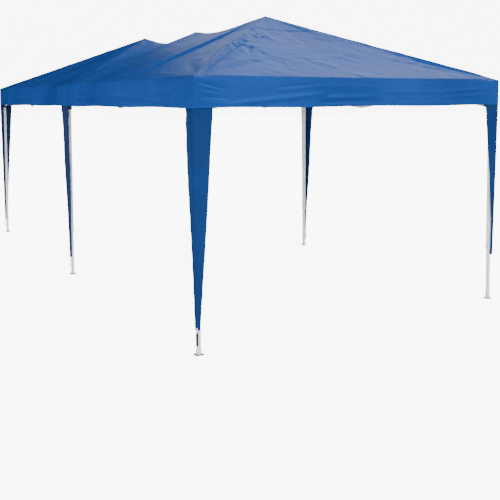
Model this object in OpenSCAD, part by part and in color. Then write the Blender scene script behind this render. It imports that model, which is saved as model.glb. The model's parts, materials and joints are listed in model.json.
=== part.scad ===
// Pop up gazebo: six telescopic legs, a scissor truss between neighbouring legs, three peak poles
// carried by slanting inner bars, and a fabric canopy with a valance and leg covers.
// Millimetres. Origin on the ground in the middle of the six feet. X across, Y along, Z up.

/* [Overall] */
// spacing of neighbouring legs, across and along
leg_spacing = 2900; // [1900:50:3200]
// height of the top truss pivots above the ground
pivot_height = 1930; // [1700:10:2200]
// height of the two outer peaks of the canopy
peak_height = 2575; // [2350:5:2900]
// how much lower the middle peak is
middle_drop = 40; // [0:5:120]

/* [Legs] */
// outside width of the square upper leg tube
upper_tube = 30; // [26:1:40]
// wall of both leg tubes
tube_wall = 0.8; // [0.6:0.1:2]
// length of the lower tube that stays inside the upper one
tube_overlap = 400; // [300:10:500]
// width of the square foot plate
foot_plate = 60; // [56:1:100]
// thickness of the foot plate
foot_thick = 4; // [2:0.5:8]
// height of the sliding bracket on each leg
slider_height = 64; // [40:2:90]

/* [Trusses] */
// height of a scissor truss between its upper and lower pivots
truss_depth = 200; // [140:10:320]
// height of a truss bar's section
bar_height = 18; // [14:1:24]
// thickness of a truss bar's section
bar_thick = 10; // [7:0.5:14]
// wall of a truss bar
bar_wall = 0.8; // [0.6:0.1:1.5]
// radius of the pivot pins
pin_r = 3; // [2.5:0.1:4]

/* [Peak poles] */
// outside radius of the peak poles
pole_r = 12.5; // [9:0.5:14]
// width of the square hub under a peak pole
hub_width = 28; // [26:0.5:40]
// radius of the domed cap on a peak pole
dome_r = 40; // [25:1:55]

/* [Fabric] */
// thickness of the fabric
fabric = 0.8; // [0.5:0.1:1.5]
// how far the canopy's edge stands out from the leg axes
overhang = 45; // [38:1:70]
// height of the valance at the legs
valance_height = 215; // [150:5:300]
// how far the canopy's edge sags between two legs
eave_sag = 50; // [0:5:80]
// how far the ridge sags between two peaks
ridge_sag = 45; // [0:5:90]
// width of the corner leg covers across the gazebo, at the top
cover_width = 155; // [100:5:160]
// width of the corner leg covers along the gazebo, at the top
cover_depth = 130; // [80:5:155]
// half width of the middle leg covers, at the top
middle_cover = 130; // [80:5:150]
// height of the lower end of the leg covers
cover_bottom = 180; // [80:10:400]

/* [Hidden] */
$fn = 48;
eps = 0.01;
slot = 0.4;
running = 0.05;
head_r = 4.8;
head_h = 2;
dome_sphere = 1.5 * dome_r;
cheek = 3.2;
bar_gap = 0.6;
bar_end = bar_height / 2 + 1;
lower_tube = upper_tube - 2 * tube_wall - 3.4;
hub_reach = hub_width / 2 + 1.4 * bar_end;
inner_reach = upper_tube / 2 + 7 + 1.4 * bar_end;
pivot_reach = inner_reach + hub_reach;
half = leg_spacing / 2;
low = pivot_height - truss_depth;
run = half - pivot_reach;
bar_length = sqrt(run * run + truss_depth * truss_depth);
bar_angle = atan(truss_depth / run);
leg_top = pivot_height + 18;
collar_height = 36;
upper_bottom = leg_top - bar_length - 104;
lower_top = upper_bottom + tube_overlap;
eave = pivot_height + 20;
middle_peak = peak_height - middle_drop;
half_width = half + overhang;
half_length = leg_spacing + overhang;
valance_bottom = eave - valance_height;
in_side = bar_gap;
out_side = bar_gap + bar_thick;

// A square tube standing on z = 0.
module square_tube(w, wall, h) {
    difference() {
        translate([-w / 2, -w / 2, 0]) cube([w, w, h]);
        translate([-w / 2 + wall, -w / 2 + wall, -1]) cube([w - 2 * wall, w - 2 * wall, h + 2]);
    }
}

// A pin along y between two y values, centred on the local x, z origin.
module pin(y0, y1, r) {
    translate([0, y0, 0]) rotate([-90, 0, 0]) cylinder(r = r, h = y1 - y0);
}

// Two cheeks and a pin that hold a bar lying between y0 and y1, reaching out along x.
module clevis(from, reach, y0, y1) {
    translate([from, y0 - slot - cheek, -12]) cube([reach + 11 - from, cheek, 24]);
    translate([from, y1 + slot, -12]) cube([reach + 11 - from, cheek, 24]);
    translate([reach, 0, 0]) pin(y0 - slot - cheek, y1 + slot + cheek, pin_r);
}

// A box-section bar from x = 0 to its length, between y0 and y1, with pivot holes where asked.
module bar(y0, holes) {
    difference() {
        translate([-bar_end, y0, -bar_height / 2])
            cube([bar_length + 2 * bar_end, bar_thick, bar_height]);
        translate([-bar_end - 1, y0 + bar_wall, -bar_height / 2 + bar_wall])
            cube([bar_length + 2 * bar_end + 2, bar_thick - 2 * bar_wall, bar_height - 2 * bar_wall]);
        for (h = holes)
            translate([h, 0, 0]) pin(y0 - 1, y0 + bar_thick + 1, pin_r + running);
    }
}

// A rivet through a pair of crossing bars: a head on each side of them.
module rivet(y0, y1) {
    pin(y0 - head_h, y0, head_r);
    pin(y0 - eps, y1 + eps, pin_r);
    pin(y1, y1 + head_h, head_r);
}

module upper_leg(x, y, dirs, inner) {
    color("white") translate([x, y, 0]) {
        translate([0, 0, upper_bottom]) square_tube(upper_tube, tube_wall, leg_top - upper_bottom - 2);
        difference() {
            translate([-upper_tube / 2 - 4, -upper_tube / 2 - 4, leg_top - 48])
                cube([upper_tube + 8, upper_tube + 8, 48]);
            translate([-upper_tube / 2 + 1, -upper_tube / 2 + 1, leg_top - 49])
                cube([upper_tube - 2, upper_tube - 2, 40]);
        }
        translate([0, 0, upper_bottom]) difference() {
            translate([-upper_tube / 2 - 3, -upper_tube / 2 - 3, 0])
                cube([upper_tube + 6, upper_tube + 6, collar_height]);
            translate([-upper_tube / 2 + 0.2, -upper_tube / 2 + 0.2, -1])
                cube([upper_tube - 0.4, upper_tube - 0.4, collar_height + 2]);
        }
        translate([0, 0, upper_bottom + collar_height / 2]) rotate([0, x < 0 ? -90 : 90, 0])
            translate([0, 0, upper_tube / 2 + 2]) cylinder(r = 6, h = 5);
        for (d = dirs)
            translate([0, 0, pivot_height]) rotate([0, 0, d])
                clevis(upper_tube / 2 + 1, pivot_reach, in_side, out_side);
        for (d = inner)
            translate([0, 0, pivot_height]) rotate([0, 0, d])
                clevis(upper_tube / 2 + 1, inner_reach, -bar_thick / 2, bar_thick / 2);
    }
}

module foot_tube(x, y) {
    color("white") translate([x, y, 0]) {
        difference() {
            translate([-foot_plate / 2, -foot_plate / 2, 0]) cube([foot_plate, foot_plate, foot_thick]);
            for (sx = [-1, 1])
                translate([sx * (foot_plate / 2 - 8), -sx * (foot_plate / 2 - 8), -1])
                    cylinder(r = 4.5, h = foot_thick + 2);
        }
        translate([0, 0, foot_thick - eps]) square_tube(lower_tube, tube_wall, lower_top - foot_thick);
        translate([0, 0, foot_thick - eps]) difference() {
            translate([-lower_tube / 2 - 3, -lower_tube / 2 - 3, 0]) cube([lower_tube + 6, lower_tube + 6, 30]);
            translate([-lower_tube / 2 + 0.2, -lower_tube / 2 + 0.2, -1])
                cube([lower_tube - 0.4, lower_tube - 0.4, 32]);
        }
    }
}

module slider(x, y, dirs) {
    color("dimgray") translate([x, y, low]) {
        difference() {
            translate([-upper_tube / 2 - 7, -upper_tube / 2 - 7, -slider_height / 2])
                cube([upper_tube + 14, upper_tube + 14, slider_height]);
            translate([-upper_tube / 2 - 0.5, -upper_tube / 2 - 0.5, -slider_height / 2 - 1])
                cube([upper_tube + 1, upper_tube + 1, slider_height + 2]);
        }
        rotate([0, x < 0 ? -90 : 90, 0])
            translate([0, 0, upper_tube / 2 + 6]) cylinder(r = 8, h = 6);
        for (d = dirs)
            rotate([0, 0, d]) clevis(upper_tube / 2 + 5, pivot_reach, -out_side, -in_side);
    }
}

// The frame of one side: x runs from its first leg towards its second.
module at_side(x, y, turn) {
    translate([x, y, 0]) rotate([0, 0, turn]) children();
}

// Slopes down from the first leg's top to the lower middle pivot.
module bar_a() {
    color("silver") translate([pivot_reach, 0, pivot_height]) rotate([0, bar_angle, 0]) {
        bar(in_side, [0]);
        for (p = [bar_length / 2, bar_length])
            translate([p, 0, 0]) rivet(-out_side - slot, out_side);
    }
}

// Slopes up from the first leg's slider to the upper middle pivot. link is -1, 0 or 1: the side its link is on.
module bar_b(link) {
    extra = slot + cheek;
    color("silver") translate([pivot_reach, 0, low]) rotate([0, -bar_angle, 0]) {
        bar(-out_side, [0, bar_length / 2]);
        translate([bar_length, 0, 0])
            if (link > 0) rivet(-out_side, out_side + slot + extra);
            else if (link < 0) rivet(-out_side - slot - extra, out_side + slot);
            else rivet(-out_side, out_side + slot);
    }
}

// Slopes up from the lower middle pivot to the second leg's top.
module bar_c() {
    color("silver") translate([half, 0, low]) rotate([0, -bar_angle, 0]) {
        bar(-out_side, [0, bar_length]);
        translate([bar_length / 2, 0, 0]) rivet(-out_side, out_side + slot);
    }
}

// Slopes down from the upper middle pivot to the second leg's slider.
module bar_d() {
    color("silver") translate([half, 0, pivot_height]) rotate([0, bar_angle, 0])
        bar(in_side, [0, bar_length / 2, bar_length]);
}

// The bracket at a side's upper middle pivot that carries an inner bar. link says which side it's on.
module link(link) {
    color("dimgray") translate([half, 0, pivot_height]) mirror([0, link < 0 ? 1 : 0, 0]) {
        difference() {
            translate([-9, out_side + slot, -14]) cube([18, cheek, 28]);
            pin(out_side, out_side + slot + cheek + 1, pin_r + running);
        }
        for (sx = [-1, 1])
            translate([sx * (bar_thick / 2 + slot + cheek / 2) - cheek / 2, out_side + slot + cheek - eps, -12])
                cube([cheek, inner_reach + 11 - out_side - slot - cheek, 24]);
        translate([0, inner_reach, 0]) rotate([0, 0, -90])
            pin(-bar_thick / 2 - slot - cheek, bar_thick / 2 + slot + cheek, pin_r);
    }
}

// An inner bar: side is -1 for the left half, 1 for the right half.
module rafter(y, side) {
    color("silver") translate([0, y, 0]) mirror([side > 0 ? 1 : 0, 0, 0])
        translate([-half + inner_reach, 0, pivot_height]) rotate([0, bar_angle, 0])
            bar(-bar_thick / 2, [0, bar_length]);
}

module peak_pole(y, top) {
    slope = (peak_height - eave) / half_width;
    tip = top - dome_sphere * (sqrt(1 + slope * slope) - 1) - fabric - 2.2;
    color("white") translate([0, y, 0]) {
        translate([-hub_width / 2, -hub_width / 2, low - 20]) cube([hub_width, hub_width, 50]);
        for (d = [0, 180])
            translate([0, 0, low]) rotate([0, 0, d])
                clevis(hub_width / 2 - 1, hub_reach, -bar_thick / 2, bar_thick / 2);
        difference() {
            translate([0, 0, low + 28]) cylinder(r = pole_r, h = tip - 20 - low - 28);
            translate([0, 0, low + 30.5]) cylinder(r = pole_r - 1.2, h = tip - 26 - low - 30.5);
        }
        difference() {
            translate([0, 0, tip - dome_sphere]) sphere(r = dome_sphere);
            translate([-2 * dome_sphere, -2 * dome_sphere, tip - 3 * dome_sphere])
                cube([4 * dome_sphere, 4 * dome_sphere, 2 * dome_sphere + sqrt(pow(dome_sphere, 2) - pow(dome_r, 2))]);
        }
        translate([0, 0, tip - 24]) cylinder(r1 = pole_r + 3, r2 = dome_r * 0.8, h = 12);
    }
}

// Height of the canopy's top face. u runs from the ridge to the eave, y along the gazebo.
function roof(u, y) =
    let (v = (abs(y) - half) / (abs(y) > half ? half_length - half : half),
         outer = max(u, v),
         plain = v >= 0 || u >= -v
             ? eave + (peak_height - eave) * (1 - outer)
             : peak_height + middle_drop * v - (middle_peak - eave) * u,
         ridge = v < 0 ? ridge_sag * sin(-180 * v) * pow(1 - u, 2) : 0,
         side = max(0, (u - 0.972) / 0.028) * (1 - v * v),
         gable = max(0, (v - 0.972) / 0.028) * (1 - u * u))
    plain - ridge - eave_sag * (side + gable);

us = [0, 0.12, 0.25, 0.4, 0.55, 0.7, 0.85, 0.972, 1];
vs = [0, 0.15, 0.3, 0.5, 0.7, 0.85, 0.972, 1];
ys = concat(
    [for (k = [7:-1:0]) -half - vs[k] * (half_length - half)],
    [for (k = [1:6]) -half + vs[k] * half],
    [for (k = [6:-1:1]) half - vs[k] * half],
    [for (k = [0:7]) half + vs[k] * (half_length - half)]
);

// Half of the roof: a thin sheet over a grid of heights.
module roof_half(side) {
    nu = len(us);
    nv = len(ys);
    top = [for (i = [0:nu - 1]) for (j = [0:nv - 1])
        [-0.2 - us[i] * (half_width - 0.2), ys[j], roof(us[i], ys[j])]];
    under = [for (p = top) [p[0], p[1], p[2] - fabric]];
    n = nu * nv;
    tops = [for (i = [0:nu - 2]) for (j = [0:nv - 2])
        let (a = i * nv + j, b = a + nv,
             away = ys[j] < 0 ? ys[j] + 1 > -half : ys[j] + 1 > half)
        for (f = away ? [[a, b, b + 1], [a, b + 1, a + 1]] : [[a, b, a + 1], [b, b + 1, a + 1]]) f];
    unders = [for (f = tops) [f[0] + n, f[2] + n, f[1] + n]];
    rim = concat(
        [for (j = [0:nv - 1]) j],
        [for (i = [1:nu - 1]) i * nv + nv - 1],
        [for (j = [nv - 2:-1:0]) (nu - 1) * nv + j],
        [for (i = [nu - 2:-1:1]) i * nv]
    );
    edges = [for (k = [0:len(rim) - 1]) let (a = rim[k], b = rim[(k + 1) % len(rim)])
        for (f = [[a, b, a + n], [b, b + n, a + n]]) f];
    color("royalblue") mirror([side > 0 ? 1 : 0, 0, 0])
        polyhedron(points = concat(top, under), faces = concat(tops, unders, edges), convexity = 6);
}

// A hanging strip: its upper edge lies under the canopy's sagging edge, and below lists its lower edge.
module hanging(stops, tops, below) {
    rotate([90, 0, 0]) linear_extrude(height = fabric)
        polygon(concat(below,
            [for (k = [len(stops) - 1:-1:0]) [stops[k], tops[k] - fabric - 1.2]]));
}

// Half of the valance, and the leg covers below it. The corner covers wrap the legs' two outer faces.
module skirt_half(side) {
    nu = len(us);
    xs = [for (k = [nu - 1:-1:0]) -0.2 - us[k] * (half_width - 0.2)];
    w = half_width;
    l = half_length;
    vb = valance_bottom;
    cb = cover_bottom;
    across = [[-w, cb], [-w + 20, cb], [-w + cover_width, vb], [-0.2, vb]];
    along = [
        [-l, cb], [-l + 20, cb], [-l + cover_depth, vb],
        [-middle_cover, vb], [-12, cb], [12, cb], [middle_cover, vb],
        [l - cover_depth, vb], [l - 20, cb], [l, cb]
    ];
    color("royalblue") mirror([side > 0 ? 1 : 0, 0, 0]) {
        translate([-w, 0, 0]) rotate([0, 0, 90])
            hanging(ys, [for (y = ys) roof(1, y)], along);
        for (my = [0, 1]) mirror([0, my, 0])
            translate([0, -l + fabric, 0])
                hanging(xs, [for (k = [nu - 1:-1:0]) roof(us[k], l)], across);
    }
}

upper_leg(-half, -leg_spacing, [0, 90], []);  // front_left_leg
upper_leg(half, -leg_spacing, [180, 90], []);  // front_right_leg
upper_leg(-half, 0, [-90, 90], [0]);  // middle_left_leg
upper_leg(half, 0, [-90, 90], [180]);  // middle_right_leg
upper_leg(-half, leg_spacing, [0, -90], []);  // back_left_leg
upper_leg(half, leg_spacing, [180, -90], []);  // back_right_leg
foot_tube(-half, -leg_spacing);  // front_left_foot_tube
foot_tube(half, -leg_spacing);  // front_right_foot_tube
foot_tube(-half, 0);  // middle_left_foot_tube
foot_tube(half, 0);  // middle_right_foot_tube
foot_tube(-half, leg_spacing);  // back_left_foot_tube
foot_tube(half, leg_spacing);  // back_right_foot_tube
slider(-half, -leg_spacing, [0, 90]);  // front_left_slider
slider(half, -leg_spacing, [180, 90]);  // front_right_slider
slider(-half, 0, [-90, 90]);  // middle_left_slider
slider(half, 0, [-90, 90]);  // middle_right_slider
slider(-half, leg_spacing, [0, -90]);  // back_left_slider
slider(half, leg_spacing, [180, -90]);  // back_right_slider
at_side(-half, 0, -90) bar_a();  // left_front_bar_a
at_side(-half, 0, -90) bar_b(1);  // left_front_bar_b
at_side(-half, 0, -90) bar_c();  // left_front_bar_c
at_side(-half, 0, -90) bar_d();  // left_front_bar_d
at_side(-half, 0, 90) bar_a();  // left_back_bar_a
at_side(-half, 0, 90) bar_b(-1);  // left_back_bar_b
at_side(-half, 0, 90) bar_c();  // left_back_bar_c
at_side(-half, 0, 90) bar_d();  // left_back_bar_d
at_side(half, 0, -90) bar_a();  // right_front_bar_a
at_side(half, 0, -90) bar_b(-1);  // right_front_bar_b
at_side(half, 0, -90) bar_c();  // right_front_bar_c
at_side(half, 0, -90) bar_d();  // right_front_bar_d
at_side(half, 0, 90) bar_a();  // right_back_bar_a
at_side(half, 0, 90) bar_b(1);  // right_back_bar_b
at_side(half, 0, 90) bar_c();  // right_back_bar_c
at_side(half, 0, 90) bar_d();  // right_back_bar_d
at_side(-half, -leg_spacing, 0) bar_a();  // front_bar_a
at_side(-half, -leg_spacing, 0) bar_b(0);  // front_bar_b
at_side(-half, -leg_spacing, 0) bar_c();  // front_bar_c
at_side(-half, -leg_spacing, 0) bar_d();  // front_bar_d
at_side(-half, leg_spacing, 0) bar_a();  // back_bar_a
at_side(-half, leg_spacing, 0) bar_b(0);  // back_bar_b
at_side(-half, leg_spacing, 0) bar_c();  // back_bar_c
at_side(-half, leg_spacing, 0) bar_d();  // back_bar_d
at_side(-half, 0, -90) link(1);  // left_front_link
at_side(-half, 0, 90) link(-1);  // left_back_link
at_side(half, 0, -90) link(-1);  // right_front_link
at_side(half, 0, 90) link(1);  // right_back_link
rafter(-half, -1);  // front_rafter_left
rafter(-half, 1);  // front_rafter_right
rafter(0, -1);  // middle_rafter_left
rafter(0, 1);  // middle_rafter_right
rafter(half, -1);  // back_rafter_left
rafter(half, 1);  // back_rafter_right
peak_pole(-half, peak_height);  // front_peak_pole
peak_pole(0, middle_peak);  // middle_peak_pole
peak_pole(half, peak_height);  // back_peak_pole
roof_half(-1);  // canopy_left
roof_half(1);  // canopy_right
skirt_half(-1);  // skirt_left
skirt_half(1);  // skirt_right
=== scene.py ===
import json
import math
import random

import bmesh
import bpy
from mathutils import Matrix, Vector


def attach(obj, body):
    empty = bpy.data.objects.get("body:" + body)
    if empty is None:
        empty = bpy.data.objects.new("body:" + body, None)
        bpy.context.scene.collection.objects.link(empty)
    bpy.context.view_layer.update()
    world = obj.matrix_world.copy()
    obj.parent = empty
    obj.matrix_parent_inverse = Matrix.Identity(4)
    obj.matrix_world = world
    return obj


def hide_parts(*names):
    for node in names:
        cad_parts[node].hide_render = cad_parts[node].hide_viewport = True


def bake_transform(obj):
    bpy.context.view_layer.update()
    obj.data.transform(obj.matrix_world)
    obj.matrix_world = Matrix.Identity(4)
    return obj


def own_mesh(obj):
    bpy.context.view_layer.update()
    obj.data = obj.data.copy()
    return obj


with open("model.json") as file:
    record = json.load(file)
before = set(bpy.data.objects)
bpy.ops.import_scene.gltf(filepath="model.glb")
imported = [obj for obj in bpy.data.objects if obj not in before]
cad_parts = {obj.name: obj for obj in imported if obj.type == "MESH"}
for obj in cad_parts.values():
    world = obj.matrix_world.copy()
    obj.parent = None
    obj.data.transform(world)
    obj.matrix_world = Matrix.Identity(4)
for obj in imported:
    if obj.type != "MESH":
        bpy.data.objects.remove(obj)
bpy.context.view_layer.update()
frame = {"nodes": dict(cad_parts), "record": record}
print("frame loaded", len(frame["nodes"]), "nodes")

spacing = 2.9  # from leg to leg, in metres
half = spacing / 2
size = {
    "halfWidth": 1.495,
    "halfLength": 2.945,
    "eave": 1.95,
    "peak": 2.575,
    "middleDrop": 0.03,
    "eaveSag": 0.05,
    "valanceBottom": 1.735,
    "fabric": 0.0012,
}
legs = {
    "front_left": (-half, -spacing),
    "front_right": (half, -spacing),
    "middle_left": (-half, 0.0),
    "middle_right": (half, 0.0),
    "back_left": (-half, spacing),
    "back_right": (half, spacing),
}


def smooth(a, b, x):
    t = min(1.0, max(0.0, (x - a) / (b - a)))
    return t * t * (3 - 2 * t)


def newMaterial(name, colour, roughness, metallic=0.0, tint=(1, 1, 1), specular=0.5):
    m = bpy.data.materials.new(name)
    m.use_nodes = True
    s = m.node_tree.nodes["Principled BSDF"]
    s.inputs["Base Color"].default_value = (*colour, 1)
    s.inputs["Roughness"].default_value = roughness
    s.inputs["Metallic"].default_value = metallic
    s.inputs["Specular IOR Level"].default_value = specular
    s.inputs["Specular Tint"].default_value = (*tint, 1)
    m.diffuse_color = (*colour, 1)
    return m


# an empty shader group with its sockets, and the two nodes that hold them
def newGroup(name, colours, values):
    g = bpy.data.node_groups.new(name, "ShaderNodeTree")
    sockets = [(c, "INPUT", "NodeSocketColor") for c in colours]
    sockets += [(v, "INPUT", "NodeSocketFloat") for v in values]
    sockets += [("Color", "OUTPUT", "NodeSocketColor"), ("Roughness", "OUTPUT", "NodeSocketFloat")]
    sockets.append(("Normal", "OUTPUT", "NodeSocketVector"))
    for label, way, kind in sockets:
        g.interface.new_socket(name=label, in_out=way, socket_type=kind)
    return g, g.nodes.new("NodeGroupInput"), g.nodes.new("NodeGroupOutput")


def addNoise(g, coords, scale, detail, kind="FBM", distortion=0.0):
    n = g.nodes.new("ShaderNodeTexNoise")
    n.noise_type = kind
    n.inputs["Scale"].default_value = scale
    n.inputs["Detail"].default_value = detail
    n.inputs["Distortion"].default_value = distortion
    g.links.new(coords.outputs["Object"], n.inputs["Vector"])
    return n


def addMask(g, height, low, high):
    n = g.nodes.new("ShaderNodeMapRange")
    n.inputs["From Min"].default_value = low
    n.inputs["From Max"].default_value = high
    g.links.new(height, n.inputs["Value"])
    return n.outputs["Result"]


def addMix(g, mask, a, b):
    n = g.nodes.new("ShaderNodeMix")
    n.data_type = "RGBA"
    g.links.new(mask, n.inputs[0])
    g.links.new(a, n.inputs[6])
    g.links.new(b, n.inputs[7])
    return n.outputs[2]


def addMath(g, operation, a, b, c=None):
    n = g.nodes.new("ShaderNodeMath")
    n.operation = operation
    for socket, v in zip(n.inputs, (a, b, c)):
        if isinstance(v, (int, float)):
            socket.default_value = v
        elif v is not None:
            g.links.new(v, socket)
    return n.outputs[0]


def addBump(g, height, strength, distance, under=None):
    n = g.nodes.new("ShaderNodeBump")
    n.inputs["Distance"].default_value = distance
    g.links.new(strength, n.inputs["Strength"])
    g.links.new(height, n.inputs["Height"])
    if under is not None:
        g.links.new(under, n.inputs["Normal"])
    return n.outputs["Normal"]


cloth = {
    "threadShare": 0.15,
    "tones": (0.3, 0.72),
    "cloudScale": 1.6,
    "creaseScale": 5,
    "creaseDepth": 0.012,
    "threadScale": 200,
    "fuzzScale": 240,
    "threadDepth": 0.0015,
    "roughnessSpan": 0.08,
}


# cloth: two tones in soft clouds, ridged creases, and a plain weave on top of them
def makeClothGroup():
    colours, values = ["Light", "Dark"], ["Roughness", "Crumple", "Weave"]
    g, given, out = newGroup("cloth_detail", colours, values)
    coords = g.nodes.new("ShaderNodeTexCoord")
    cloud = addNoise(g, coords, cloth["cloudScale"], 3).outputs["Fac"]
    creases = addNoise(g, coords, cloth["creaseScale"], 5, "RIDGED_MULTIFRACTAL", 0.8)
    threads = addNoise(g, coords, cloth["fuzzScale"], 2).outputs["Fac"]
    for axis in ("X", "Y", "Z"):
        w = g.nodes.new("ShaderNodeTexWave")
        w.bands_direction = axis
        w.inputs["Scale"].default_value = cloth["threadScale"]
        g.links.new(coords.outputs["Object"], w.inputs["Vector"])
        threads = addMath(g, "MULTIPLY_ADD", w.outputs["Fac"], cloth["threadShare"], threads)
    folded = addBump(g, creases.outputs["Fac"], given.outputs["Crumple"], cloth["creaseDepth"])
    woven = addBump(g, threads, given.outputs["Weave"], cloth["threadDepth"], folded)
    tone = addMask(g, cloud, *cloth["tones"])
    span = cloth["roughnessSpan"]
    rough = addMath(g, "MULTIPLY_ADD", cloud, span, given.outputs["Roughness"])
    g.links.new(
        addMix(g, tone, given.outputs["Dark"], given.outputs["Light"]), out.inputs["Color"]
    )
    g.links.new(addMath(g, "SUBTRACT", rough, span / 2), out.inputs["Roughness"])
    g.links.new(woven, out.inputs["Normal"])
    return g


hard = {
    "tones": (0.35, 0.65),
    "wornRoughness": 0.2,
    "cloudScale": 6,
    "scuffScale": 38,
    "scuffEdges": (0.6, 0.68),
    "grainScale": 420,
    "grainDepth": 0.0004,
    "roughnessSpan": 0.12,
}


# paint, plastic and steel: two tones, small scuffs in a third, and a fine grain
def makeHardGroup():
    colours, values = ["Light", "Dark", "Scuff"], ["Roughness", "Wear", "Grain"]
    g, given, out = newGroup("hard_detail", colours, values)
    coords = g.nodes.new("ShaderNodeTexCoord")
    cloud = addNoise(g, coords, hard["cloudScale"], 4).outputs["Fac"]
    scuffs = addNoise(g, coords, hard["scuffScale"], 6).outputs["Fac"]
    grain = addNoise(g, coords, hard["grainScale"], 2).outputs["Fac"]
    worn = addMask(g, scuffs, *hard["scuffEdges"])
    worn = addMath(g, "MULTIPLY", worn, given.outputs["Wear"])
    tone = addMask(g, cloud, *hard["tones"])
    tone = addMix(g, tone, given.outputs["Dark"], given.outputs["Light"])
    span = hard["roughnessSpan"]
    rough = addMath(g, "MULTIPLY_ADD", scuffs, span, given.outputs["Roughness"])
    rough = addMath(g, "SUBTRACT", rough, span / 2)
    rough = addMath(g, "MULTIPLY_ADD", worn, hard["wornRoughness"], rough)
    g.links.new(addMix(g, worn, tone, given.outputs["Scuff"]), out.inputs["Color"])
    g.links.new(rough, out.inputs["Roughness"])
    g.links.new(
        addBump(g, grain, given.outputs["Grain"], hard["grainDepth"]), out.inputs["Normal"]
    )
    return g


def addDetail(m, group, values):
    tree = m.node_tree
    n = tree.nodes.new("ShaderNodeGroup")
    n.node_tree = group
    shader = tree.nodes["Principled BSDF"].inputs
    values = {"Roughness": shader["Roughness"].default_value, **values}
    for label, v in values.items():
        n.inputs[label].default_value = (*v, 1) if isinstance(v, tuple) else v
    tree.links.new(n.outputs["Color"], shader["Base Color"])
    tree.links.new(n.outputs["Roughness"], shader["Roughness"])
    tree.links.new(n.outputs["Normal"], shader["Normal"])


clothGroup = makeClothGroup()
hardGroup = makeHardGroup()


def addCloth(m, light, dark, crumple, weave):
    values = {"Light": light, "Dark": dark, "Crumple": crumple, "Weave": weave}
    addDetail(m, clothGroup, values)


def addHard(m, light, dark, scuff, wear, grain):
    values = {"Light": light, "Dark": dark, "Scuff": scuff, "Wear": wear, "Grain": grain}
    addDetail(m, hardGroup, values)


shine = (0.33, 0.52, 1)
blue = newMaterial("blue_cloth", (0.004, 0.042, 0.19), 0.4, 0.25, shine, 0.3)
addCloth(blue, (0.007, 0.057, 0.26), (0.0045, 0.043, 0.2), 0.5, 0.15)
patchBlue = newMaterial("patch_cloth", (0.004, 0.042, 0.19), 0.42, 0.25, shine, 0.3)
addCloth(patchBlue, (0.0068, 0.056, 0.255), (0.005, 0.046, 0.21), 0.3, 0.1)
coverBlue = newMaterial("cover_cloth", (0.002, 0.025, 0.12), 0.5, tint=shine, specular=0.35)
addCloth(coverBlue, (0.0025, 0.027, 0.125), (0.0015, 0.018, 0.085), 0.3, 0.15)
navy = newMaterial("cloth_inside", (0.004, 0.02, 0.08), 0.6, specular=0.2)
addCloth(navy, (0.0045, 0.022, 0.088), (0.0035, 0.018, 0.072), 0.3, 0.15)
elastic = newMaterial("black_elastic", (0.012, 0.012, 0.013), 0.75)
addCloth(elastic, (0.014, 0.014, 0.015), (0.01, 0.01, 0.011), 0.05, 0.6)
tape = newMaterial("white_tape", (0.7, 0.7, 0.7), 0.7)
addCloth(tape, (0.73, 0.73, 0.73), (0.66, 0.66, 0.66), 0.05, 0.6)
white = newMaterial("white_paint", (0.72, 0.73, 0.75), 0.32)
addHard(white, (0.74, 0.75, 0.77), (0.7, 0.71, 0.73), (0.5, 0.5, 0.5), 0.25, 0.2)
silver = newMaterial("truss_paint", (0.62, 0.63, 0.65), 0.35)
addHard(silver, (0.645, 0.655, 0.675), (0.595, 0.605, 0.625), (0.4, 0.4, 0.41), 0.25, 0.2)
plastic = newMaterial("black_plastic", (0.025, 0.026, 0.028), 0.5)
addHard(plastic, (0.029, 0.03, 0.032), (0.021, 0.022, 0.024), (0.06, 0.06, 0.062), 0.3, 0.4)
dark = newMaterial("dark_steel", (0.05, 0.052, 0.056), 0.45)
addHard(dark, (0.057, 0.059, 0.063), (0.043, 0.045, 0.049), (0.12, 0.115, 0.11), 0.4, 0.3)
ringGrey = newMaterial("ring_steel", (0.5, 0.51, 0.53), 0.3, metallic=0.9)
addHard(ringGrey, (0.53, 0.54, 0.56), (0.47, 0.48, 0.5), (0.3, 0.3, 0.31), 0.3, 0.15)
slots = {"white_steel": white, "truss_steel": silver, "black_plastic": plastic, "blue_fabric": blue}
for part in frame["record"]["subparts"]:
    mesh = frame["nodes"][part["node"]].data
    mesh.materials.clear()
    mesh.materials.append(slots[part["material_slot"]])
print("materials made")


def makePiece(name, bm, materials, shade=True):
    bmesh.ops.recalc_face_normals(bm, faces=bm.faces)
    mesh = bpy.data.meshes.new(name)
    bm.to_mesh(mesh)
    bm.free()
    for m in materials:
        mesh.materials.append(m)
    if shade:
        mesh.polygons.foreach_set("use_smooth", [True] * len(mesh.polygons))
    obj = bpy.data.objects.new(name, mesh)
    bpy.context.scene.collection.objects.link(obj)
    return obj


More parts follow.
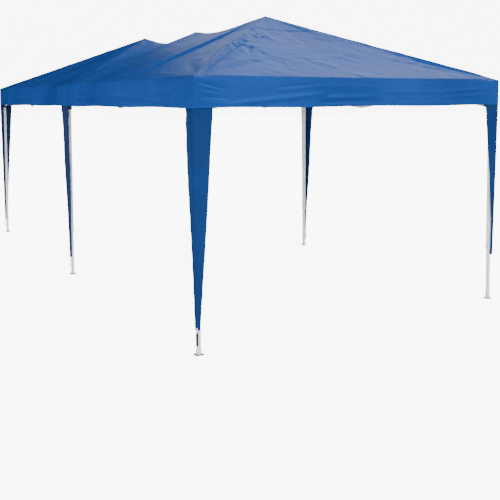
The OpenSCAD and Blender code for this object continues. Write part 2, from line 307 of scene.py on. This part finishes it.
# a closed thin sheet over a grid of outer points; the inner face lies against the normals
def clothFromGrid(name, rows, thickness, materials):
    nr, nc = len(rows), len(rows[0])
    normals = []
    for i in range(nr):
        line = []
        for j in range(nc):
            a = rows[min(i + 1, nr - 1)][j] - rows[max(i - 1, 0)][j]
            b = rows[i][min(j + 1, nc - 1)] - rows[i][max(j - 1, 0)]
            n = a.cross(b)
            line.append(n.normalized() if n.length > 1e-12 else Vector((0, 0, 1)))
        normals.append(line)
    bm = bmesh.new()
    outer = [[bm.verts.new(p) for p in row] for row in rows]
    inner = [
        [bm.verts.new(rows[i][j] - normals[i][j] * thickness) for j in range(nc)] for i in range(nr)
    ]
    for i in range(nr - 1):
        for j in range(nc - 1):
            bm.faces.new((outer[i][j], outer[i + 1][j], outer[i + 1][j + 1], outer[i][j + 1]))
            f = bm.faces.new((inner[i][j], inner[i][j + 1], inner[i + 1][j + 1], inner[i + 1][j]))
            f.material_index = 1
    rim = [(i, 0) for i in range(nr)] + [(nr - 1, j) for j in range(1, nc)]
    rim += [(i, nc - 1) for i in range(nr - 2, -1, -1)] + [(0, j) for j in range(nc - 2, 0, -1)]
    for k in range(len(rim)):
        (a, b), (c, d) = rim[k], rim[(k + 1) % len(rim)]
        f = bm.faces.new((outer[a][b], inner[a][b], inner[c][d], outer[c][d]))
        for e in f.edges:
            e.smooth = False
    obj = makePiece(name, bm, materials)
    return obj


rng = random.Random(11)
creaseLines = []  # each has its start, its end, a height and a width
hipCorner = (1.46, 2.91)


# creases that leave a corner or peak close together and spread apart
def addFan(x, y, towardX, towardY, count, spread, reach, depth, width):
    base = math.atan2(towardY - y, towardX - x)
    for k in range(count):
        a = base + spread * ((k + 0.5) / count - 0.5) + rng.uniform(-0.03, 0.03)
        r0 = rng.uniform(0.05, 0.2) * reach
        r1 = reach * rng.uniform(0.55, 1.0)
        creaseLines.append(
            (
                x + math.cos(a) * r0,
                y + math.sin(a) * r0,
                x + math.cos(a) * r1,
                y + math.sin(a) * r1,
                depth * rng.uniform(0.5, 1.1) * (1 if k % 2 else -1),
                width * rng.uniform(0.7, 1.3),
            )
        )


# short creases in all directions about a place
def addCrumple(x, y, radius, count, depth, width):
    for _ in range(count):
        a, r = rng.uniform(0, 2 * math.pi), radius * math.sqrt(rng.random())
        b, n = rng.uniform(0, math.pi), rng.uniform(0.04, 0.12)
        cx, cy = x + r * math.cos(a), y + r * math.sin(a)
        dx, dy = math.cos(b) * n, math.sin(b) * n
        high = rng.uniform(0.4, 1) * rng.choice((-1, 1)) * depth
        creaseLines.append((cx - dx, cy - dy, cx + dx, cy + dy, high, width * rng.uniform(0.8, 1.5)))


# folds that run up beside a hip from its corner: each has an offset, a height and a width
def addHipFolds(sx, sy, reach, folds):
    corner, peak = Vector((sx * hipCorner[0], sy * hipCorner[1])), Vector((0, sy * half))
    along = (peak - corner).normalized()
    aside = Vector((-sx * along.y, sx * along.x)) * (1 if sy < 0 else -1)
    for offset, depth, width in folds:
        a = corner + aside * offset * 0.3 + along * 0.02
        b = corner + aside * offset + along * reach
        creaseLines.append((a.x, a.y, b.x, b.y, depth, width))


for sx in (-1, 1):
    for sy in (-1, 1):
        addFan(sx * half, sy * spacing, 0, sy * half, 7, 0.9, 1.1, 0.0045, 0.035)
        addFan(0, sy * half, sx * half, sy * spacing, 5, 0.7, 0.7, 0.004, 0.03)
        addFan(0, sy * half, sx * half, 0, 5, 0.9, 0.6, 0.003, 0.03)
        addCrumple(sx * 0.85, sy * 1.65, 0.6, 60, 0.0042, 0.018)
        addCrumple(sx * 0.3, sy * 2.3, 0.5, 16, 0.003, 0.022)
        addCrumple(sx * 0.75, sy * 0.6, 0.55, 26, 0.0035, 0.02)
    addFan(sx * half, 0, 0, -half, 5, 0.8, 0.9, 0.005, 0.035)
    addFan(sx * half, 0, 0, half, 5, 0.8, 0.9, 0.005, 0.035)
# the two signs of each corner, how far its folds run, and the folds
hipFolds = {
    (-1, -1): (1.25, [(0.1, 0.014, 0.022), (0.045, -0.012, 0.02), (-0.07, 0.01, 0.024)]),
    (1, -1): (1.1, [(-0.08, 0.02, 0.04), (0.08, -0.008, 0.03)]),
    (-1, 1): (1.1, [(0.08, 0.012, 0.024), (-0.06, 0.01, 0.024)]),
    (1, 1): (1.2, [(0.09, 0.012, 0.024), (-0.07, -0.01, 0.022)]),
}
# x, y, radius, how many, height and width
crumples = [
    (-0.68, -2.27, 0.15, 22, 0.0075, 0.015),
    (-0.4, -1.97, 0.12, 14, 0.006, 0.014),
    (0.78, -2.45, 0.2, 14, 0.005, 0.018),
    (0.1, -2.45, 0.5, 14, 0.0035, 0.02),
    (-0.15, 1.2, 0.3, 12, 0.004, 0.02),
    (0.5, 2.1, 0.25, 14, 0.006, 0.017),
]
for (sx, sy), (reach, folds) in hipFolds.items():
    addHipFolds(sx, sy, reach, folds)
for crumple in crumples:
    addCrumple(*crumple)
# single folds by the left eave and on the front plane
creaseLines += [
    (-1.40, -2.5, -1.36, -1.95, 0.009, 0.016),
    (-1.43, -2.3, -1.41, -1.75, 0.008, 0.015),
    (-1.30, -2.2, -1.33, -1.85, 0.007, 0.016),
    (-0.83, -2.63, -0.72, -2.56, -0.007, 0.014),
    (-0.38, -2.58, -0.28, -2.45, -0.006, 0.014),
    (-0.30, -2.6, -0.24, -2.48, -0.006, 0.014),
]


def creaseHeight(x, y):
    total = 0.0
    for x0, y0, x1, y1, depth, width in creaseLines:
        if abs(2 * x - x0 - x1) > abs(x1 - x0) + 0.3 or abs(2 * y - y0 - y1) > abs(y1 - y0) + 0.3:
            continue
        dx, dy = x1 - x0, y1 - y0
        long2 = dx * dx + dy * dy
        t = ((x - x0) * dx + (y - y0) * dy) / long2
        if -0.1 < t < 1.1:
            d = abs((x - x0) * dy - (y - y0) * dx) / math.sqrt(long2)
            if d < width * 2.5:
                taper = smooth(-0.1, 0.25, t) * (1 - smooth(0.6, 1.1, t))
                total += depth * math.exp(-((d / width) ** 2)) * taper
    return total


roofCloth = {
    "planeSag": 0.022,
    "frontRidgeSag": 0.035,
    "bayDip": 0.012,
    "valleyFront": 0.015,
    "valleyBack": 0.1,
    "valleyAt": 0.35,
    "creaseEnd": (0.9, 0.97),
    "patch": 0.24,
    "patchLift": 0.0022,
    "hipLift": 0.003,
    "hipWidth": 0.012,
    "foldKeep": 0.115,
    "gableKeep": 0.05,
}


# the cloth sinks a little towards an eave, and the rest over the truss at the edge
def edgeDrop(t):
    return 0.15 * smooth(0.5, 0.97, t) + 0.85 * smooth(0.976, 1, t)


def roofHeight(x, y, creased=True):
    u = min(1.0, abs(x) / size["halfWidth"])
    far = abs(y) - half
    v = far / (size["halfLength"] - half) if far > 0 else far / half
    eave, peak, drop = size["eave"], size["peak"], size["middleDrop"]
    if v >= 0:
        h = eave + (peak - eave) * (1 - max(u, v))
        # each plane hangs a little between its hips and its eave
        sag = roofCloth["planeSag"] * math.sin(math.pi * max(u, v))
        h -= sag * (1 - min(u, v) / max(u, v, 0.001)) ** 0.7
    else:
        w = -v
        side = eave + (peak - eave) * (1 - u)
        back = peak - drop * w - (peak - drop - eave) * u
        gap = side - back
        h = min(side, back) - max(0, 0.02 - abs(gap)) ** 2 * 8
        if y < 0:
            h -= roofCloth["frontRidgeSag"] * math.sin(math.pi * w**1.6) * (1 - u) ** 2
        if w > u:
            # the cloth dips between the middle rafters and the slope of the peak beside them
            t = (1 - w) / (1 - u)
            low = roofCloth["valleyAt"]
            g = t / low if t < low else (1 - t) / (1 - low)
            h -= roofCloth["valleyFront" if y < 0 else "valleyBack"] * (1 - u) * g * (2 - g)
        h -= roofCloth["bayDip"] * math.sin(math.pi * u) * math.sin(math.pi * w) ** 2
    edge = size["eaveSag"] * edgeDrop(u) * (1 - v * v)
    gable = size["eaveSag"] * edgeDrop(v) * (1 - u * u) if v > 0 else 0
    h -= edge + gable
    if creased:
        h += creaseHeight(x, y) * (1 - smooth(*roofCloth["creaseEnd"], max(u, v)))
    return h


# values between the given ones, no further apart than step
def makeStops(points, step):
    out = [points[0]]
    for a, b in zip(points, points[1:]):
        n = max(1, math.ceil((b - a) / step))
        out += [a + (b - a) * k / n for k in range(1, n + 1)]
    return out


wide, long = size["halfWidth"], size["halfLength"]
step = 0.02
patch = roofCloth["patch"]


# the doubled patches of cloth at the two outer peaks
def paintPatch(roof, reach):
    for f in roof.data.polygons:
        c = f.center
        if f.material_index == 0 and abs(c.x) < reach and abs(abs(c.y) - half) < reach:
            f.material_index = 2


# the thickness of the peak patches, and the doubled seam along the hips
def seamLift(x, y):
    reach = patch * wide
    lift = roofCloth["patchLift"] if abs(x) < reach and abs(abs(y) - half) < reach else 0.0
    off = abs(abs(x) - (abs(y) - half))
    if abs(y) > half and off < roofCloth["hipWidth"]:
        lift += roofCloth["hipLift"]
    return lift


hipStops = makeStops([0, 0.985, 0.991, 1], 0.025)
edgeStops = [patch, patch + 0.003, 0.976, 0.982, 0.988, 1]
uStops = makeStops([0] + edgeStops, step / wide)
tStops = makeStops([-1, -0.996, -0.992, -0.76, -0.757, 0, 0.757, 0.76, 0.992, 0.996, 1], step / long)
for side, name in ((-1, "left"), (1, "right")):
    rows = []
    for u in uStops:
        reach = half + u * (long - half)
        rows.append([])
        for t in tStops:
            x, y = side * u * wide, t * reach
            rows[-1].append(Vector((x, y, roofHeight(x, y) + seamLift(x, y))))
    if side < 0:
        rows = [list(reversed(r)) for r in rows]
    roof = clothFromGrid(f"roof_{name}", rows, size["fabric"], [blue, navy, patchBlue])
    paintPatch(roof, patch * wide)
    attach(roof, f"canopy_{name}")
    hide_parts(f"canopy_{name}")
    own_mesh(roof)
    for end, row in ((-1, "front"), (1, "back")):
        rows = []
        for v in makeStops([0.004] + edgeStops, step / wide):
            y = end * (half + v * (long - half))
            xs = [side * k * v * wide for k in hipStops]
            rows.append([Vector((x, y, roofHeight(x, y) + seamLift(x, y))) for x in xs])
        if side * end > 0:
            rows = [list(reversed(r)) for r in rows]
        gable = clothFromGrid(f"roof_{row}_{name}", rows, size["fabric"], [blue, navy, patchBlue])
        paintPatch(gable, patch * wide)
        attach(gable, f"{row}_bar_{'a' if side < 0 else 'c'}")
        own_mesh(gable)
print("roof made")


# long folds in the valances: start and end along the edge, their heights, depth and width
longFolds = {
    "left": [
        (-2.75, 1.86, -1.1, 1.80, 0.006, 0.02),
        (-2.5, 1.78, -1.6, 1.81, 0.007, 0.015),
        (-1.3, 1.84, -0.2, 1.79, 0.006, 0.018),
        (0.4, 1.84, 2.2, 1.80, 0.006, 0.02),
    ],
    "right": [(-2.2, 1.80, -0.6, 1.84, 0.008, 0.018), (0.8, 1.82, 2.5, 1.86, 0.008, 0.018)],
    "front": [
        (-1.3, 1.752, -0.35, 1.835, 0.014, 0.017),
        (-0.85, 1.875, -0.3, 1.925, -0.008, 0.012),
        (-1.48, 1.915, -1.2, 1.855, -0.005, 0.008),
        (-1.48, 1.87, -1.25, 1.84, -0.004, 0.007),
        (-1.48, 1.81, -1.2, 1.80, -0.004, 0.008),
        (-1.48, 1.77, -1.15, 1.765, 0.004, 0.008),
        (-0.55, 1.80, 0.2, 1.81, 0.009, 0.017),
        (0.1, 1.845, 0.75, 1.85, 0.007, 0.016),
        (0.3, 1.78, 0.95, 1.79, -0.007, 0.014),
        (0.55, 1.83, 1.46, 1.885, 0.008, 0.014),
        (0.8, 1.80, 1.46, 1.835, 0.007, 0.012),
    ],
    "back": [(-1.2, 1.76, 0.1, 1.81, 0.012, 0.018), (0.3, 1.81, 1.3, 1.77, 0.012, 0.018)],
}


valanceCloth = {
    "rows": 24,
    "hem": 0.0016,
    "hemFrom": 0.9,
    "mostInward": 0.006,
    "edgeWave": 0.003,
    "foldKeep": 0.115,
    "endKeep": 0.125,
}
proud = 0.001  # the valances hang just outside the roof's edge
tuck = 0.0006  # and lie this far over it


# how far the valance stands out from its plane, from the folds in it and the hem at its foot
def valanceOut(s, z, side, seed):
    deep = (size["eave"] - z) / (size["eave"] - size["valanceBottom"])
    end = long if side in ("left", "right") else wide
    out = 0.0
    for c in (-end, end) if end == wide else (-end, 0, end):
        d = abs(s - c)
        out += 0.0016 * math.sin(d * 27 + deep * 2.4 + seed) * math.exp(-d * 2.2) * deep
    out += 0.006 * math.sin(s * 4.1 + seed) * deep + 0.002 * math.sin(s * 11 + seed * 3) * deep
    for s0, z0, s1, z1, depth, width in longFolds[side]:
        t = (s - s0) / (s1 - s0)
        if 0 < t < 1:
            d = (z - z0 - (z1 - z0) * t) / width
            fold = math.exp(-d * d) - 0.7 * math.exp(-((d + 1.6) ** 2))
            out += depth * fold * math.sin(math.pi * t) ** 0.8
    if valanceCloth["hemFrom"] < deep:
        out += valanceCloth["hem"]
    return max(-valanceCloth["mostInward"], out) * smooth(0, 0.06, end - abs(s))


def makeValance(side, stops, place, seed, body):
    rows = []
    count = valanceCloth["rows"]
    for t in [k / count for k in range(count + 1)]:
        row = []
        for s in stops:
            top = place(s, 0)[2]
            wave = valanceCloth["edgeWave"] * math.sin(s * 5 + seed)
            z = top + (size["valanceBottom"] + wave - top) * t
            out = valanceOut(s, z, side, seed)
            if t == 0:
                # the top row lies over the roof's own edge, so that no light comes through between them
                z, out = z + tuck, -proud - tuck
            row.append(Vector(place(s, out)[:2] + (z,)))
        rows.append(row)
    valance = clothFromGrid(f"valance_{side}", rows, size["fabric"], [blue, navy])
    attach(valance, body)
    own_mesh(valance)
    return valance


sideStops = makeStops([-long - proud, 0, long + proud], step)
frontStops = makeStops([-wide - proud, 0, wide + proud], step)
left = makeValance(
    "left",
    list(reversed(sideStops)),
    lambda s, o: (-wide - proud - o, s, roofHeight(-wide, s, False)),
    0.4, "middle_left_leg",
)
right = makeValance(
    "right",
    sideStops,
    lambda s, o: (wide + proud + o, s, roofHeight(wide, s, False)),
    2.1, "middle_right_leg",
)
makeValance(
    "front",
    frontStops,
    lambda s, o: (s, -long - proud - o, roofHeight(s, -long, False)),
    1.3, "front_left_leg",
)
makeValance(
    "back",
    list(reversed(frontStops)),
    lambda s, o: (s, long + proud + o, roofHeight(s, long, False)),
    3.3, "back_left_leg",
)
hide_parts("skirt_left")
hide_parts("skirt_right")
print("valance made")


# width across and along at the top, share of the way down where the taper ends, lower end's height
covers = {
    "front_left": (0.155, 0.13, 1.0, 0.18),
    "front_right": (0.15, 0.13, 0.78, 0.4),
    "middle_left": (0, 0.13, 1.0, 0.18),
    "middle_right": (0, 0.13, 1.0, 0.18),
    "back_left": (0.15, 0.13, 1.0, 0.18),
    "back_right": (0.15, 0.13, 0.9, 0.3),
}

coverCloth = {
    "rows": 80,
    "halfColumns": 8,
    "inset": 0.02,
    "middleFootWidth": 0.018,
    "cornerFootWidth": 0.028,
    "blendFrom": 1.6,
    "blendTo": 0.2,
    "areaShare": 0.57,
}


def makeCover(leg):
    x0, y0 = legs[leg]
    across, along, taperShare, foot = covers[leg]
    sx = -1 if x0 < 0 else 1
    sy = 0 if y0 == 0 else (-1 if y0 < 0 else 1)
    n, m = coverCloth["rows"], coverCloth["halfColumns"]
    top = size["valanceBottom"] + 0.004  # just up behind the valance's hem
    rows = []
    for k in range(n + 1):
        t = k / n
        z = top + (foot - top) * t
        inset = coverCloth["inset"] * t
        gather = 0.005 * math.exp(-t * 22) + 0.001
        cx, cy = sx * (wide - inset), sy * (long - inset)
        narrow = min(1, t / taperShare) if sy else t
        row = []
        if sy == 0:
            w = along + (coverCloth["middleFootWidth"] - along) * narrow
            for j in range(-m, m + 1):
                s = j / m
                bulge = 0.006 * math.sin(s * 5 + t * 9 + x0) * (1 - t)
                bulge += gather * math.sin(j * 2.3 + k * 0.9)
                row.append(Vector((cx + sx * (bulge - 0.016 * t * s * s), s * w, z)))
        else:
            wx, wy = (w + (coverCloth["cornerFootWidth"] - w) * narrow for w in (across, along))
            for j in range(m, 0, -1):
                s = j / m
                bulge = 0.007 * math.sin(s * 4 + t * 7) * s * (1 - t)
                bulge += gather * math.sin(j * 2.1 + k * 0.8) * s
                row.append(Vector((cx - sx * s * wx, cy + sy * bulge, z)))
            for j in range(m + 1):
                s = j / m
                bulge = 0.007 * math.sin(s * 4 + t * 6 + 2) * s * (1 - t)
                bulge += gather * math.sin(j * 1.9 + k * 0.85) * s
                row.append(Vector((cx + sx * bulge, cy - sy * s * wy, z)))
        if sx * sy < 0 or (sy == 0 and sx < 0):
            row.reverse()
        rows.append(row)
    rows.reverse()
    cover = clothFromGrid(f"{leg}_cover", rows, size["fabric"], [coverBlue, navy])
    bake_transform(cover)
    share = coverCloth["areaShare"]
    if taperShare != 1:
        share -= 0.5 * (1 - taperShare)


for leg in legs:
    makeCover(leg)
print("leg covers made")


foot = {
    "plateTop": 0.0045,
    "strapTop": 0.163,
    "strapFoot": 0.07,
    "strapWidth": 0.017,
    "strapThick": 0.002,
    "ringRadius": 0.0085,
    "wire": 0.0016,
    "cornerAway": 0.033,
    "middleAway": 0.0265,
    "loopWidth": 0.011,
    "loopThick": 0.0012,
    "loopTop": 0.2,
}

for leg in legs:
    mesh = frame["nodes"][f"{leg}_foot_tube"].data
    mesh.materials.append(dark)
    for f in mesh.polygons:
        f.material_index = 1 if f.center.z < foot["plateTop"] else 0


# turn a shape made facing -Y to face out from its leg, and stand it away from the leg's axis
def placeOut(bm, verts, leg, away, z):
    x0, y0 = legs[leg]
    out = Vector((math.copysign(1, x0), math.copysign(1, y0) if y0 else 0, 0)).normalized()
    turn = Vector((0, -1, 0)).rotation_difference(out).to_matrix()
    if out.y > 0.99:
        turn = Matrix.Rotation(math.pi, 3, "Z")
    bmesh.ops.rotate(bm, cent=(0, 0, 0), matrix=turn, verts=verts)
    bmesh.ops.translate(bm, vec=(x0 + out.x * away, y0 + out.y * away, z), verts=verts)


# a flat band that leans in towards its foot by lean and bows out by bow half way
def addBand(bm, width, thick, low, high, lean, bow):
    made = bmesh.ops.create_grid(bm, x_segments=4, y_segments=14, size=0.5)["verts"]
    for v in made:
        t = v.co.y + 0.5
        wave = bow * math.sin(math.pi * t) + lean * (1 - t)
        v.co = Vector((v.co.x * width, -wave, low + (high - low) * t))
    faces = list({f for v in made for f in v.link_faces})
    more = bmesh.ops.extrude_face_region(bm, geom=faces)["geom"]
    moved = [v for v in more if isinstance(v, bmesh.types.BMVert)]
    bmesh.ops.translate(bm, vec=(0, thick, 0), verts=moved)
    return made + moved


def addRing(bm, radius, wire):
    start = bmesh.ops.create_circle(bm, cap_ends=False, radius=wire, segments=8)["verts"]
    bmesh.ops.rotate(bm, cent=(0, 0, 0), matrix=Matrix.Rotation(math.pi / 2, 3, "X"), verts=start)
    bmesh.ops.translate(bm, vec=(radius, 0, 0), verts=start)
    edges = list({e for v in start for e in v.link_edges})
    geom, turn = start + edges, 2 * math.pi
    bmesh.ops.spin(
        bm, geom=geom, cent=(0, 0, 0), axis=(0, 0, 1), angle=turn, steps=24, use_merge=True
    )
    verts = list(bm.verts)
    bmesh.ops.rotate(bm, cent=(0, 0, 0), matrix=Matrix.Rotation(math.pi / 2, 3, "X"), verts=verts)
    return verts


def makeStraps(leg):
    away = foot["cornerAway" if legs[leg][1] else "middleAway"]
    bm = bmesh.new()
    band = addBand(
        bm, foot["strapWidth"], foot["strapThick"], foot["strapFoot"], foot["strapTop"], -0.001, 0.002
    )
    placeOut(bm, band, leg, away, 0)
    strap = makePiece(f"{leg}_strap", bm, [elastic])
    bm = bmesh.new()
    made = addRing(bm, foot["ringRadius"], foot["wire"])
    placeOut(bm, made, leg, away + 0.001, foot["strapTop"] + 0.006)
    ring = makePiece(f"{leg}_strap_ring", bm, [ringGrey])
    bm = bmesh.new()
    low, high = foot["strapTop"] + 0.009, foot["loopTop"]
    band = addBand(bm, foot["loopWidth"], foot["loopThick"], low, high, 0, 0.002)
    placeOut(bm, band, leg, away + 0.002, 0)
    loop = makePiece(f"{leg}_strap_loop", bm, [tape])
    for piece, slotName in ((strap, "black_plastic"), (ring, "truss_steel"), (loop, "white_steel")):
        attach(piece, f"{leg}_foot_tube")


for leg in ("front_left", "middle_left", "middle_right", "back_left"):
    makeStraps(leg)
print("feet and straps made")


def addArea(name, where, target, width, power):
    light = bpy.data.lights.new(name, "AREA")
    light.shape = "SQUARE"
    light.size = width
    light.energy = power
    o = bpy.data.objects.new(name, light)
    bpy.context.scene.collection.objects.link(o)
    o.location = where
    o.rotation_euler = (Vector(target) - Vector(where)).to_track_quat("-Z", "Y").to_euler()


# the light path's camera rays, so that the floor and backdrop glow only where they are seen
def cameraRays(tree):
    return tree.nodes.new("ShaderNodeLightPath").outputs["Is Camera Ray"]


studio = {"floorHalf": 60, "floorGlow": 7, "lightStrength": 2.4, "backdropStrength": 10}
# place, target, width in metres, and watts
lights = {
    "sheen": ((9.5, 6, 8.5), (0, -2.2, 2.2), 8, 430),
    "key": ((5, -13, 9), (0, -1, 1.5), 5, 450),
    "back": ((5.5, 9.7, 7.8), (-0.8, -0.5, 2.2), 5, 110),
    "left": ((-12, -5, 10), (0, 0, 1.5), 8, 900),
}
bm = bmesh.new()
bmesh.ops.create_grid(bm, x_segments=1, y_segments=1, size=studio["floorHalf"])
floorPaint = newMaterial("floor", (0.94, 0.94, 0.94), 0.9)
floor = makePiece("floor", bm, [floorPaint])
tree = floorPaint.node_tree
glow = tree.nodes["Principled BSDF"].inputs
glow["Emission Color"].default_value = (1, 1, 1, 1)
brightness = tree.nodes.new("ShaderNodeMath")
brightness.operation = "MULTIPLY"
brightness.inputs[1].default_value = studio["floorGlow"]
tree.links.new(cameraRays(tree), brightness.inputs[0])
tree.links.new(brightness.outputs["Value"], glow["Emission Strength"])
for name, (where, target, width, power) in lights.items():
    addArea(name, where, target, width, power)
world = bpy.data.worlds.new("studio")
world.use_nodes = True
tree = world.node_tree
tree.nodes["Background"].inputs["Color"].default_value = (0.96, 0.97, 1, 1)
tree.nodes["Background"].inputs["Strength"].default_value = studio["lightStrength"]
backdrop = tree.nodes.new("ShaderNodeBackground")
backdrop.inputs["Strength"].default_value = studio["backdropStrength"]
mix = tree.nodes.new("ShaderNodeMixShader")
tree.links.new(cameraRays(tree), mix.inputs["Fac"])
tree.links.new(tree.nodes["Background"].outputs[0], mix.inputs[1])
tree.links.new(backdrop.outputs[0], mix.inputs[2])
tree.links.new(mix.outputs[0], tree.nodes["World Output"].inputs["Surface"])
world.cycles_visibility.glossy = False
floor.visible_glossy = False
bpy.context.scene.world = world
print("stage and lights set")

# metres, radians, and a lens in millimetres
cameraView = {
    "place": (-3.7718, -7.5639, 1.793),
    "yaw": 0.5327,
    "pitch": -0.0671,
    "roll": -0.0048,
    "lens": 54.21,
    "shiftUp": -0.2,
}
camera = bpy.data.cameras.new("camera")
camera.sensor_width = 36
camera.lens = cameraView["lens"]
camera.shift_y = cameraView["shiftUp"]
camera.clip_end = 200
shot = bpy.data.objects.new("camera", camera)
bpy.context.scene.collection.objects.link(shot)
yaw, pitch, roll = (cameraView[k] for k in ("yaw", "pitch", "roll"))
forward = Vector((math.sin(yaw) * math.cos(pitch), math.cos(yaw) * math.cos(pitch), math.sin(pitch)))
sideways = Vector((math.cos(yaw), -math.sin(yaw), 0))
upward = sideways.cross(forward)
rightAxis = sideways * math.cos(roll) + upward * math.sin(roll)
upAxis = upward * math.cos(roll) - sideways * math.sin(roll)
atX, atY, atZ = cameraView["place"]
shot.matrix_world = Matrix(
    (
        (rightAxis.x, upAxis.x, -forward.x, atX),
        (rightAxis.y, upAxis.y, -forward.y, atY),
        (rightAxis.z, upAxis.z, -forward.z, atZ),
        (0, 0, 0, 1),
    )
)
bpy.context.scene.camera = shot
print("camera set")
